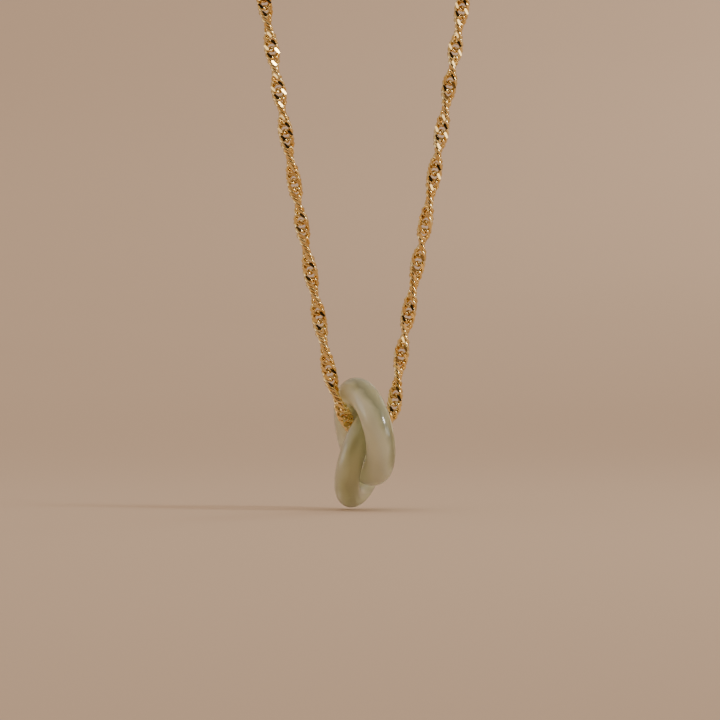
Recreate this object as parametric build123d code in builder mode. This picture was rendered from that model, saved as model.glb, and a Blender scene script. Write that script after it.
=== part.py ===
from build123d import *
from math import cos, pi, radians, sin, tan
import os

os.makedirs("parts", exist_ok=True)

# A fine gold chain, closed by a plain ring clasp, that carries two linked stone rings.
# All sizes are millimetres. The origin is the underside of the clasp, where the necklace hangs.
# X runs across the view, Y away from the viewer and Z up.

# Stone rings: radius of the centre line, radius of the round section, how far the top leans
# to the left, and how far the ring is turned from edge-on, its near side going right.
upper_ring_radius = 5.2
upper_section = 1.88
upper_lean = 13
upper_turn = 20
lower_ring_radius = 5.1
lower_section = 1.62
lower_lean = -17.5
lower_turn = -16

# Clearances: between the two stones, over the chain at its lowest corner, and at the clasp.
ring_gap = 0.13
hang_gap = 0.43
clasp_gap = 0.15

# Chain: the mean width of its twisted links.
chain_diameter = 1.6
chain_radius = chain_diameter / 2

# Clasp: a closed ring with a small fixed eye, both lying flat.
clasp_diameter = 6.0
clasp_wire = 1.3
eye_diameter = 2.6
eye_wire = 0.7
eye_bite = 0.5
clasp_length = clasp_diameter + eye_diameter - eye_bite
chain_end = clasp_length / 2 + clasp_gap

# Corners of the chain's route, from the clasp's eye down the left strand, under the lower
# ring and up the right strand to the clasp's ring.
chain_route = [
    (-chain_end, 0, 0.35),
    (-9.5, 0, -0.45),
    (-19.0, 0, -6.0),
    (-25.7, 0, -14.75),
    (-28.65, 0, -25.4),
    (-26.95, 0, -47),
    (-21.85, -0.4, -87),
    (-13.6, -0.95, -143),
    (-8.6, -1.25, -173),
    (-5.75, -1.4, -189),
    (-4.45, -1.5, -197.5),
    (-3.1, -0.3, -201.25),
    (-0.75, 0.55, -203.95),
    (1.3, 0.5, -204.3),
    (3.1, 0.15, -203.25),
    (4.0, -0.25, -200.8),
    (5.7, -0.25, -189),
    (8.6, -0.2, -173),
    (13.6, -0.15, -143),
    (21.85, -0.05, -87),
    (26.95, 0, -47),
    (28.65, 0, -25.4),
    (25.7, 0, -14.75),
    (19.0, 0, -6.0),
    (9.5, 0, -0.45),
    (chain_end, 0, 0.35),
]
chain_pass = min(chain_route, key=lambda corner: corner[2])


arc_share = 0.45


def corner_radii(route):
    """Each corner's largest arc, which takes up the arc share of the shorter of its two runs."""
    radii = []
    for before, corner, after in zip(route, route[1:], route[2:]):
        run_in = Vector(corner) - Vector(before)
        run_out = Vector(after) - Vector(corner)
        half_turn = radians(run_in.get_angle(run_out)) / 2
        radii.append(arc_share * min(run_in.length, run_out.length) / tan(half_turn))
    return radii


# The chain's body: a round of the twisted chain's mean width along its whole route.
route_radii = corner_radii(chain_route)
with BuildPart() as chain:
    with BuildLine():
        chain_line = FilletPolyline(*chain_route, radius=route_radii)
    with BuildSketch(Plane(origin=chain_line @ 0, z_dir=chain_line % 0)):
        Circle(chain_radius)
    sweep()
chain.part.label = "chain"


def ring_frame(centre, lean, turn):
    """A plane whose X axis is the ring's own axis and whose Z axis points to its top."""
    return Plane(Location(centre, (0, -lean, turn)))


def stone_ring(frame, ring_radius, section):
    """A plain ring of round section about the frame's X axis."""
    with BuildPart() as ring:
        with BuildSketch(frame):
            with Locations((0, ring_radius)):
                Circle(section)
        revolve(axis=Axis(frame.origin, frame.x_dir))
    return ring.part


# The lower ring hangs on the chain: the chain passes under it a little before its top.
seat_angle = 11.8
seat_side = -0.17
lower_seat = Vector(chain_pass) + Vector(seat_side, 0, lower_section + chain_radius + hang_gap)
seat_frame = ring_frame(lower_seat, lower_lean, lower_turn)
lower_centre = seat_frame.from_local_coords(
    Vector(0, lower_ring_radius * sin(radians(seat_angle)), -lower_ring_radius * cos(radians(seat_angle)))
)

# The upper ring hangs through the lower one, in front of its centre and above it. Sideways
# their far bands pass each other with the ring gap between them. The rings lean away from
# each other, which sets the bands further apart at the height where they pass.
upper_rise = 3.3
upper_forward = 2.6
bands_lean = 0.64
far_bands = upper_ring_radius * sin(radians(upper_turn)) - lower_ring_radius * sin(radians(lower_turn))
upper_side = far_bands + bands_lean - (upper_section + lower_section + ring_gap)
upper_centre = lower_centre + Vector(upper_side, -upper_forward, upper_rise)

lower_ring = stone_ring(
    ring_frame(lower_centre, lower_lean, lower_turn), lower_ring_radius, lower_section
)
lower_ring.label = "lower_ring"
upper_ring = stone_ring(
    ring_frame(upper_centre, upper_lean, upper_turn), upper_ring_radius, upper_section
)
upper_ring.label = "upper_ring"

# Clasp: ring and eye are one piece, the eye to the left.
ring_x = clasp_length / 2 - clasp_diameter / 2
eye_x = eye_diameter / 2 - clasp_length / 2
with BuildPart() as clasp:
    for middle, diameter, wire in ((ring_x, clasp_diameter, clasp_wire), (eye_x, eye_diameter, eye_wire)):
        with BuildSketch(Plane.XZ):
            with Locations((middle + (diameter - wire) / 2, clasp_wire / 2)):
                Circle(wire / 2)
        revolve(axis=Axis((middle, 0, 0), (0, 0, 1)))
clasp.part.label = "clasp"

export_step(chain.part, "parts/chain.step")
export_step(lower_ring, "parts/lower_ring.step")
export_step(upper_ring, "parts/upper_ring.step")
export_step(clasp.part, "parts/clasp.step")

tube_length = chain_line.length
print("corner radii", [round(radius, 2) for radius in route_radii])
print("chain length", round(tube_length, 2), "with clasp", round(tube_length + 2 * chain_end, 2))
print("tube volume over section times length", chain.part.volume / (pi * chain_radius**2 * tube_length))
print("lower ring centre", lower_centre, "upper ring centre", upper_centre)
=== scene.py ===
import bpy
import bmesh
from bisect import bisect_right
from math import atan2, copysign, cos, hypot, pi, radians, sin
from mathutils import Matrix, Vector
from random import Random


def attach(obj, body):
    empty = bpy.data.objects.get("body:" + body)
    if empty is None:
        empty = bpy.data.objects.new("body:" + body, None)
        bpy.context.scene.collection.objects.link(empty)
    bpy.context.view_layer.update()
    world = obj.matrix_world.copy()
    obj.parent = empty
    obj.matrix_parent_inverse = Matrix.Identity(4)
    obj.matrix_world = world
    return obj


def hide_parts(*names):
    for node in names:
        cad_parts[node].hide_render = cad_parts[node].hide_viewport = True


# A fine gold chain with a pendant of linked stone rings. All lengths are metres, in the
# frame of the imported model: X across the view, Y away from the viewer, Z up.
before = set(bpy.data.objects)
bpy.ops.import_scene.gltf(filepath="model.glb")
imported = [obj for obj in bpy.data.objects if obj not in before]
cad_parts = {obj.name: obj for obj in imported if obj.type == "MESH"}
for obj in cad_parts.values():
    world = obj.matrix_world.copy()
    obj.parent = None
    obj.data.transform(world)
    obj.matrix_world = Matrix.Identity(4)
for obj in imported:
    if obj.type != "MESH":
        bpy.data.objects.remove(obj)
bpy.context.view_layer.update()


# Chain: a double curb chain of gold-plated wire. Each twisted oval link passes through the next
# two, and the whole is turned on its length like a ribbon. The two faces of the ribbon are then
# cut flat with a diamond tool, so every link carries a few small mirrors.
chain_route = [
    (-0.0042, 0, 0.00035),
    (-0.0095, 0, -0.00045),
    (-0.0190, 0, -0.0060),
    (-0.0257, 0, -0.01475),
    (-0.02865, 0, -0.0254),
    (-0.02695, 0, -0.047),
    (-0.02185, -0.0004, -0.087),
    (-0.0136, -0.00095, -0.143),
    (-0.0086, -0.00125, -0.173),
    (-0.0056, -0.0015, -0.189),
    (-0.0042, -0.0019, -0.1966),
    (-0.0028, -0.0016, -0.2002),
    (-0.002, -0.00022, -0.2018),
    (-0.0006, 0.0007, -0.2042),
    (0.0013, 0.00045, -0.2045),
    (0.0029, -0.0002, -0.2035),
    (0.0032, -0.0006, -0.2019),
    (0.0039, -0.0005, -0.2002),
    (0.00415, -0.0003, -0.1976),
    (0.0055, -0.00025, -0.189),
    (0.0086, -0.0002, -0.173),
    (0.0136, -0.00015, -0.143),
    (0.02185, -0.00005, -0.087),
    (0.02695, 0, -0.047),
    (0.02865, 0, -0.0254),
    (0.0257, 0, -0.01475),
    (0.0190, 0, -0.0060),
    (0.0095, 0, -0.00045),
    (0.0042, 0, 0.00035),
]
link_pitch = 0.00107
link_wire = 0.00043
link_half_width = 0.00081
link_half_length = 0.0013
link_twist = radians(-174)
link_taper = 0.93
cut_height = 0.00059
half_turn_length = 0.0055
hand_wobble = 0.04

# How far the first and last links stand from the ends of the route.
first_link = 0.00175

# Heights at which the ribbon lies flat to the viewer, down the left strand and up the right one.
left_flat = [-0.1483, -0.1537, -0.1595, -0.1646, -0.1713, -0.1766, -0.1825, -0.1883, -0.1954]
right_flat = [-0.193, -0.1879, -0.1813, -0.1769, -0.1698, -0.1646, -0.1587, -0.1537, -0.1488]


def smooth_line(route):
    """The points of the smooth line that the route's corners control."""
    curve = bpy.data.curves.new("smooth_line", "CURVE")
    curve.dimensions = "3D"
    curve.resolution_u = 40
    spline = curve.splines.new("NURBS")
    spline.points.add(len(route) - 1)
    for point, place in zip(spline.points, route):
        point.co = (*place, 1)
    spline.order_u = 3
    spline.use_endpoint_u = True
    carrier = bpy.data.objects.new("smooth_line", curve)
    line = bpy.data.meshes.new_from_object(carrier)
    points = [vertex.co.copy() for vertex in line.vertices]
    bpy.data.objects.remove(carrier)
    bpy.data.curves.remove(curve)
    bpy.data.meshes.remove(line)
    return points


def full_spin(shape, axis, steps):
    """Spins the shape's section once round the axis through the origin, and closes it."""
    bmesh.ops.spin(
        shape, geom=shape.verts[:] + shape.edges[:], cent=(0, 0, 0), axis=axis, dvec=(0, 0, 0),
        angle=2 * pi, steps=steps, use_merge=True, use_duplicate=False,
    )


def smooth_outside(shape):
    """Turns the faces outward and shades them smooth."""
    bmesh.ops.recalc_face_normals(shape, faces=shape.faces[:])
    for face in shape.faces:
        face.smooth = True


def to_mesh(name, shape):
    """The finished shape as a mesh."""
    mesh = bpy.data.meshes.new(name)
    shape.to_mesh(mesh)
    shape.free()
    return mesh


def add_object(name, shape, materials):
    """The finished shape as an object in the scene."""
    mesh = to_mesh(name, shape)
    for material in materials:
        mesh.materials.append(material)
    made = bpy.data.objects.new(name, mesh)
    bpy.context.scene.collection.objects.link(made)
    return made


def add_piece(name, shape, materials, body, node=None):
    """Makes the shape a piece that rides on a body and, given a node, stands for its solid."""
    piece = add_object(name, shape, materials)
    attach(piece, body)
    if node:
        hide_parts(node)


def from_hex(code):
    """An sRGB hex colour as linear red, green, blue and alpha."""
    channels = [int(code[i : i + 2], 16) / 255 for i in (1, 3, 5)]
    return (*(c / 12.92 if c <= 0.04045 else ((c + 0.055) / 1.055) ** 2.4 for c in channels), 1)


def add_node(tree, kind, links=(), **settings):
    """Adds a node with its settings, and links each (output, input) pair into it."""
    node = tree.nodes.new(kind)
    for name, value in settings.items():
        if hasattr(node, name):
            setattr(node, name, value)
        else:
            node.inputs[name.replace("_", " ")].default_value = value
    for output, socket in links:
        tree.links.new(output, node.inputs[socket])
    return node


def new_material(name, **settings):
    """A material with one shader, its node tree and its place on the object."""
    material = bpy.data.materials.new(name)
    material.use_nodes = True
    tree = material.node_tree
    tree.nodes.clear()
    shader = add_node(tree, "ShaderNodeBsdfPrincipled", **settings)
    add_node(tree, "ShaderNodeOutputMaterial", links=[(shader.outputs[0], "Surface")])
    place = add_node(tree, "ShaderNodeTexCoord").outputs["Object"]
    return material, tree, shader, place


def add_noise(tree, place, scale, detail, **settings):
    """Noise with its main waves about one metre over the scale apart."""
    noise = add_node(
        tree, "ShaderNodeTexNoise", [(place, "Vector")], Scale=scale, Detail=detail, **settings
    )
    return noise.outputs["Fac"]


def add_tones(tree, shader, value, tones):
    """Colours the shader by the value, through tones of (position, colour)."""
    tint = add_node(tree, "ShaderNodeValToRGB", [(value, "Fac")])
    first, *between, last = tones
    for stop, (position, colour) in zip(tint.color_ramp.elements, (first, last)):
        stop.position, stop.color = position, from_hex(colour)
    for position, colour in between:
        tint.color_ramp.elements.new(position).color = from_hex(colour)
    tree.links.new(tint.outputs["Color"], shader.inputs["Base Color"])


def add_gloss(tree, shader, value, least, most):
    """Lets the shader's roughness drift with the value."""
    gloss = add_node(
        tree, "ShaderNodeMapRange", [(value, "Value")], To_Min=least, To_Max=most
    )
    tree.links.new(gloss.outputs["Result"], shader.inputs["Roughness"])


def add_relief(tree, shader, height, strength, distance, sockets=("Normal",)):
    """Gives the shader's surface the height as fine relief."""
    relief = add_node(
        tree, "ShaderNodeBump", [(height, "Height")], Strength=strength, Distance=distance
    )
    for socket in sockets:
        tree.links.new(relief.outputs["Normal"], shader.inputs[socket])


# Drawn wire under gold plate: warm, polished, with its tone and gloss drifting a little.
gold_wire, tree, shader, place = new_material("gold_plated_wire", Metallic=1)
drift = add_noise(tree, place, 700, 3)
add_tones(tree, shader, drift, [(0.35, "#E8C276"), (0.65, "#FBE6AC")])
add_gloss(tree, shader, drift, 0.06, 0.16)
# Drawing lines are 0.02 mm apart; they are drawn at 0.1 mm so that they break the highlights.
add_relief(tree, shader, add_noise(tree, place, 9000, 1), 0.2, 0.00002)

# The diamond cut leaves a flat, far brighter mirror with faint tool lines, drawn at 0.1 mm.
cut_gold, tree, shader, place = new_material(
    "diamond_cut_gold", Base_Color=from_hex("#FFDC8F"), Metallic=1, Roughness=0.06
)
tool_lines = add_node(
    tree, "ShaderNodeTexWave", [(place, "Vector")], bands_direction="Z", Scale=3000, Distortion=1
)
add_relief(tree, shader, tool_lines.outputs["Fac"], 0.1, 0.000005)


def link_line(angle):
    """A point on the link's centre line, and how far its twist has turned there."""
    x = link_half_width * copysign(abs(cos(angle)) ** link_taper, cos(angle))
    z = link_half_length * copysign(abs(sin(angle)) ** link_taper, sin(angle))
    turn = link_twist * z / link_half_length / 2
    return Vector((x * cos(turn), x * sin(turn), z)), turn


def twisted_link():
    """One link about the origin, its length along Z: a ring of wire, drawn out and twisted."""
    link = bmesh.new()
    section = bmesh.ops.create_circle(link, segments=6, radius=link_wire / 2)["verts"]
    bmesh.ops.translate(link, verts=section, vec=(link_half_width, 0, 0))
    full_spin(link, (0, 1, 0), 16)
    near = 0.02
    for vertex in link.verts:
        angle = atan2(vertex.co.z, vertex.co.x)
        outward = hypot(vertex.co.x, vertex.co.z) - link_half_width
        centre, turn = link_line(angle)
        along = (link_line(angle + near)[0] - link_line(angle - near)[0]).normalized()
        flat_normal = Vector((-sin(turn), cos(turn), 0))
        out = flat_normal.cross(along).normalized()
        if out.dot(centre) < 0:
            out.negate()
        across = along.cross(out)
        if across.dot(flat_normal) < 0:
            across.negate()
        vertex.co = centre + out * outward + across * vertex.co.y
    smooth_outside(link)
    for side in (1, -1):
        cut = bmesh.ops.bisect_plane(
            link, geom=link.verts[:] + link.edges[:] + link.faces[:],
            plane_co=(0, side * cut_height, 0), plane_no=(0, side, 0), clear_outer=True,
        )["geom_cut"]
        rim = [part for part in cut if isinstance(part, bmesh.types.BMEdge)]
        for facet in bmesh.ops.holes_fill(link, edges=rim)["faces"]:
            facet.smooth = False
            facet.material_index = 1
    bmesh.ops.recalc_face_normals(link, faces=link.faces[:])
    return to_mesh("twisted_link", link)


chain_line = smooth_line(chain_route)
reached = [0]
for before, after in zip(chain_line, chain_line[1:]):
    reached.append(reached[-1] + (after - before).length)


def share_between(stations, distance):
    """The last station before this distance, and the share of the way to the next one."""
    i = min(max(bisect_right(stations, distance) - 1, 0), len(stations) - 2)
    return i, (distance - stations[i]) / (stations[i + 1] - stations[i])


def along_chain(distance):
    """The place and direction at this distance along the chain."""
    i, share = share_between(reached, distance)
    before, after = chain_line[i], chain_line[i + 1]
    return before.lerp(after, share), (after - before).normalized()


# Between the flat places the ribbon makes whole half turns, each close to its usual length.
lowest = min(range(len(chain_line)), key=lambda i: chain_line[i].z)
strands = (range(lowest), left_flat), (range(lowest, len(chain_line)), right_flat)
flat_at = [
    reached[min(strand, key=lambda i: abs(chain_line[i].z - height))]
    for strand, heights in strands for height in heights
]
flat_at = [first_link, *flat_at, reached[-1] - first_link]
half_turns = [0]
for before, after in zip(flat_at, flat_at[1:]):
    half_turns.append(half_turns[-1] + max(1, round((after - before) / half_turn_length)))


def ribbon_turn(distance):
    """How far the chain has turned on its length, so that it lies flat where it should."""
    i, share = share_between(flat_at, distance)
    return pi * (half_turns[i] + share * (half_turns[i + 1] - half_turns[i]))


link_mesh = twisted_link()
chain = bmesh.new()
hand = Random(7)
link_count = round((reached[-1] - 2 * first_link) / link_pitch)
link_step = (reached[-1] - 2 * first_link) / link_count
for i in range(link_count + 1):
    distance = first_link + i * link_step
    middle, direction = along_chain(distance)
    side = direction.cross(Vector((0, 1, 0))).normalized()
    lie = Matrix((side, side.cross(direction), -direction)).transposed().to_4x4()
    turn = Matrix.Rotation(ribbon_turn(distance) + hand.gauss(0, hand_wobble), 4, "Z")
    made = len(chain.verts)
    chain.from_mesh(link_mesh)
    chain.verts.ensure_lookup_table()
    bmesh.ops.transform(
        chain, matrix=Matrix.Translation(middle) @ lie @ turn, verts=chain.verts[made:]
    )
add_piece("chain_links", chain, [gold_wire, cut_gold], "necklace", "chain")


# Clasp: a plain ring with a small fixed eye, cast in one piece, then plated and polished. The
# photo does not show it, so it has no more than closes the loop.
clasp_x, clasp_radius, clasp_wire = 0.00105, 0.00235, 0.0013
eye_x, eye_radius, eye_wire = -0.00275, 0.00095, 0.0007


def wire_ring(shape, middle, radius, wire, axis=(0, 0, 1), steps=48, sides=16, stretch=0):
    """Adds a closed ring of round wire about the axis, its halves drawn apart along X."""
    ring = bmesh.new()
    section = bmesh.ops.create_circle(ring, segments=sides, radius=wire / 2)["verts"]
    if axis[2]:
        bmesh.ops.rotate(ring, verts=section, cent=(0, 0, 0), matrix=Matrix.Rotation(pi / 2, 3, "X"))
    bmesh.ops.translate(ring, verts=section, vec=(radius, 0, 0))
    half_step = Matrix.Rotation(pi / steps, 3, Vector(axis))
    bmesh.ops.rotate(ring, verts=section, cent=(0, 0, 0), matrix=half_step)
    full_spin(ring, axis, steps)
    for half in (1, -1):
        drawn = [vertex for vertex in ring.verts if vertex.co.x * half > 0]
        bmesh.ops.translate(ring, verts=drawn, vec=(half * stretch, 0, 0))
    bmesh.ops.translate(ring, verts=ring.verts[:], vec=middle)
    smooth_outside(ring)
    shape.from_mesh(to_mesh("wire_ring", ring))


# Cast, plated and tumbled gold: smoother than the drawn wire, with soft unevenness.
cast_gold, tree, shader, place = new_material(
    "tumbled_gold_plate", Base_Color=from_hex("#F0CC80"), Metallic=1
)
unevenness = add_noise(tree, place, 900, 3)
add_gloss(tree, shader, unevenness, 0.08, 0.22)
add_relief(tree, shader, unevenness, 0.4, 0.00004)

clasp = bmesh.new()
wire_ring(clasp, (clasp_x, 0, clasp_wire / 2), clasp_radius, clasp_wire)
wire_ring(clasp, (eye_x, 0, clasp_wire / 2), eye_radius, eye_wire)
add_piece("clasp_ring", clasp, [cast_gold], "necklace", "clasp")


# End rings: closed rings of drawn wire, one round and one oval, that join the chain's first and
# last links to the clasp. They are soldered shut and carry the same plate as the chain.
end_rings = bmesh.new()
wire_ring(end_rings, (-0.00408, 0, 0.0005), 0.00095, 0.00036, axis=(0, 1, 0), steps=32, sides=10)
wire_ring(
    end_rings, (0.00385, 0, 0.00053), 0.0009, 0.0004, axis=(0, 1, 0), steps=32, sides=10,
    stretch=0.0004,
)
add_piece("end_rings", end_rings, [gold_wire], "necklace")


# Stone rings: cut from pale, cloudy green stone, linked in one piece and polished all over, so
# light enters them and scatters. The lower one is the darker and more olive.
def ring_lie(lean, turn):
    """How a ring about its own X axis is turned, then leant."""
    return Matrix.Rotation(-radians(lean), 4, "Y") @ Matrix.Rotation(radians(turn), 4, "Z")


def stone_ring(name, centre, lie, radius, section, material, body, node):
    """A plain round ring about its own X axis, turned, leant and set at its centre."""
    ring = bmesh.new()
    circle = bmesh.ops.create_circle(ring, segments=48, radius=section)["verts"]
    bmesh.ops.translate(ring, verts=circle, vec=(0, radius, 0))
    full_spin(ring, (1, 0, 0), 128)
    smooth_outside(ring)
    ring.transform(Matrix.Translation(centre) @ lie)
    add_piece(name, ring, [material], body, node)


def stone_with_clouds_and_painted_light(name, centre, lie, section, ior, tones):
    """Polished stone with clouds and painted light: a pale painted sheen on one flank, and painted
    light from below that makes the foot of the ring paler than its top.
    """
    material, tree, shader, place = new_material(
        name, Roughness=0.5, IOR=ior, Subsurface_Weight=1, Subsurface_Scale=0.006,
        Subsurface_Radius=(1, 1, 0.8), Transmission_Weight=0.55, Coat_Weight=1, Coat_Roughness=0.05,
    )
    own = add_node(
        tree, "ShaderNodeMapping", [(place, "Vector")], vector_type="TEXTURE",
        Location=centre, Rotation=lie.to_euler(),
    ).outputs["Vector"]
    # Clouds about 3 mm across; painted light then shifts the tone: a pale painted sheen along one
    # flank, and the foot painted paler than the top as light from below.
    clouds = add_noise(tree, own, 330, 4, Roughness=0.5, Distortion=0.4)
    across = add_node(tree, "ShaderNodeSeparateXYZ", [(own, "Vector")])
    # Painted sheen: the tone turns pale towards one flank of the ring.
    painted_side_light = add_node(
        tree, "ShaderNodeMapRange", [(across.outputs["X"], "Value")],
        From_Min=-section, From_Max=section, To_Min=-0.25, To_Max=0.75,
    )
    clouds_and_side_light = add_node(
        tree, "ShaderNodeMath",
        [(clouds, 0), (painted_side_light.outputs["Result"], 2)], operation="MULTIPLY_ADD",
    )
    clouds_and_side_light.inputs[1].default_value = 0.5
    # Painted light from below: the foot of the ring is paler, the top darker.
    height = add_node(
        tree, "ShaderNodeMapRange", [(across.outputs["Z"], "Value")],
        From_Min=-0.007, From_Max=0.007, To_Min=-0.35, To_Max=0.2,
    )
    tone_with_painted_light = add_node(
        tree, "ShaderNodeMath",
        [(clouds_and_side_light.outputs["Value"], 0), (height.outputs["Result"], 1)], operation="ADD",
    )
    add_tones(tree, shader, tone_with_painted_light.outputs["Value"], tones)
    # Polishing leaves low waves about 1.5 mm apart.
    polish_waves = add_noise(tree, own, 650, 2)
    add_relief(tree, shader, polish_waves, 0.2, 0.00006, ("Normal", "Coat Normal"))
    return material


lower_centre = (-0.000097, 0.001503, -0.206298)
lower_lie = ring_lie(-17.5, -16)
lower_section = 0.00162
# Serpentine, polished: olive, cloudy, clear enough for light to sink in.
olive_stone = stone_with_clouds_and_painted_light(
    "polished_olive_serpentine", lower_centre, lower_lie, lower_section, 1.57,
    [(0.1, "#EBF0CF"), (0.5, "#BCBE95"), (0.9, "#B8BA92")],
)
stone_ring(
    "lower_stone_ring", lower_centre, lower_lie, 0.0051, lower_section,
    olive_stone, "lower_stone", "lower_ring",
)

upper_centre = (0.000097, -0.001097, -0.202998)
upper_lie = ring_lie(13, 20)
upper_section = 0.00188
# Jade, polished: pale grey green, with a pale painted sheen along one flank and a wet looking gloss.
pale_stone = stone_with_clouds_and_painted_light(
    "polished_pale_jade", upper_centre, upper_lie, upper_section, 1.6,
    [(0.1, "#F8F8D9"), (0.3, "#F3F2D0"), (0.55, "#96986E"), (0.95, "#CCCA9C")],
)
stone_ring(
    "upper_stone_ring", upper_centre, upper_lie, 0.0052, upper_section,
    pale_stone, "upper_stone", "upper_ring",
)


# Studio: a pale painted floor that rises slowly into a round wall, lit from above, with soft
# boxes to the right and left and a dark card for the gold to mirror.
floor_height = -0.2131
floor_rise = 0.045
# Painted board: dead matt, its roller marks about 2 mm apart and its tone drifting over 0.3 m.
painted_board, tree, shader, place = new_material(
    "painted_board", Roughness=0.9, Specular_IOR_Level=0
)
add_tones(tree, shader, add_noise(tree, place, 3, 2), [(0, "#CCB39A"), (1, "#D1B89F")])
add_relief(tree, shader, add_noise(tree, place, 500, 2), 0.1, 0.0001)

studio = bmesh.new()
profile = [(reach / 20, floor_rise * (reach / 20) ** 3) for reach in range(33)]
profile += [(1.8, 0.32), (1.95, 0.5), (2.07, 0.75)]
corners = [studio.verts.new((reach, 0, floor_height + rise)) for reach, rise in profile]
for below, above in zip(corners, corners[1:]):
    studio.edges.new((below, above))
full_spin(studio, (0, 0, 1), 64)
bmesh.ops.remove_doubles(studio, verts=studio.verts[:], dist=1e-6)
smooth_outside(studio)
# The viewer is inside the bowl, so its faces are turned inward.
bmesh.ops.reverse_faces(studio, faces=studio.faces[:])
add_object("studio", studio, [painted_board])

look_at = Vector((-0.00046, 0, -0.19383))


def soft_box(
    name, azimuth, elevation, reach, size, power, target=look_at, beam=180, mirrored=True,
    spread=True,
):
    """A soft light that faces the target, from this side of the viewer and this height.

    One that is not mirrored leaves no highlight; one that is not spread gives only highlights.
    """
    light = bpy.data.lights.new(name, "AREA")
    light.shape = "RECTANGLE"
    light.size, light.size_y = size
    light.energy = power
    light.spread = radians(beam)
    lamp = bpy.data.objects.new(name, light)
    side, up = radians(azimuth), radians(elevation)
    away = Vector((sin(side) * cos(up), -cos(side) * cos(up), sin(up)))
    lamp.location = target + away * reach
    lamp.rotation_euler = away.to_track_quat("Z", "Y").to_euler()
    lamp.visible_camera = False
    lamp.visible_glossy = mirrored
    lamp.visible_diffuse = spread
    bpy.context.scene.collection.objects.link(lamp)


# The key has a grid that keeps its beam off the floor below it.
soft_box("key_right", 63, 23, 0.55, (0.13, 0.1), 0.52, beam=120)
soft_box("low_right", 72, 0, 0.35, (0.2, 0.13), 0.2, spread=False)
soft_box("low_left", -85, 5, 0.5, (0.35, 0.4), 0.6, spread=False)
soft_box("overhead", 0, 88, 2.6, (3, 3), 20, mirrored=False)
backdrop_right = Vector((0.3, 1.3, -0.12))
soft_box("wash_right", 90, 45, 0.8, (0.3, 0.3), 5, backdrop_right, mirrored=False)

# A dark card round the camera, seen only in reflections: it gives the gold its dark side.
card_reach = 0.65
card = bmesh.new()
upright = [card.verts.new((0, -card_reach, height)) for height in (-0.19, 0.45)]
card.edges.new(upright)
bmesh.ops.rotate(card, verts=upright, cent=(0, 0, 0), matrix=Matrix.Rotation(radians(-34), 3, "Z"))
bmesh.ops.spin(
    card, geom=card.verts[:] + card.edges[:], cent=(0, 0, 0), axis=(0, 0, 1), dvec=(0, 0, 0),
    angle=radians(84), steps=20, use_merge=False, use_duplicate=False,
)
black_card = new_material("black_card", Base_Color=from_hex("#1B1714"), Roughness=0.8)[0]
dark_card = add_object("dark_card", card, [black_card])
dark_card.visible_camera = False
dark_card.visible_shadow = False
dark_card.visible_diffuse = False
dark_card.visible_transmission = False

world = bpy.data.worlds.new("studio_air")
world.use_nodes = True
world.node_tree.nodes["Background"].inputs["Color"].default_value = from_hex("#C9B7A6")
world.node_tree.nodes["Background"].inputs["Strength"].default_value = 1
bpy.context.scene.world = world

# The photo's view: level with the pendant and a hand's breadth of chain, through a long lens.
camera_data = bpy.data.cameras.new("camera")
camera_data.lens = 200
camera_data.sensor_width = 36
camera_data.clip_start = 0.05
camera_data.clip_end = 20
camera = bpy.data.objects.new("camera", camera_data)
camera.location = look_at + Vector((0, -0.5128, 0))
camera.rotation_euler = (pi / 2, 0, 0)
bpy.context.scene.collection.objects.link(camera)
bpy.context.scene.camera = camera
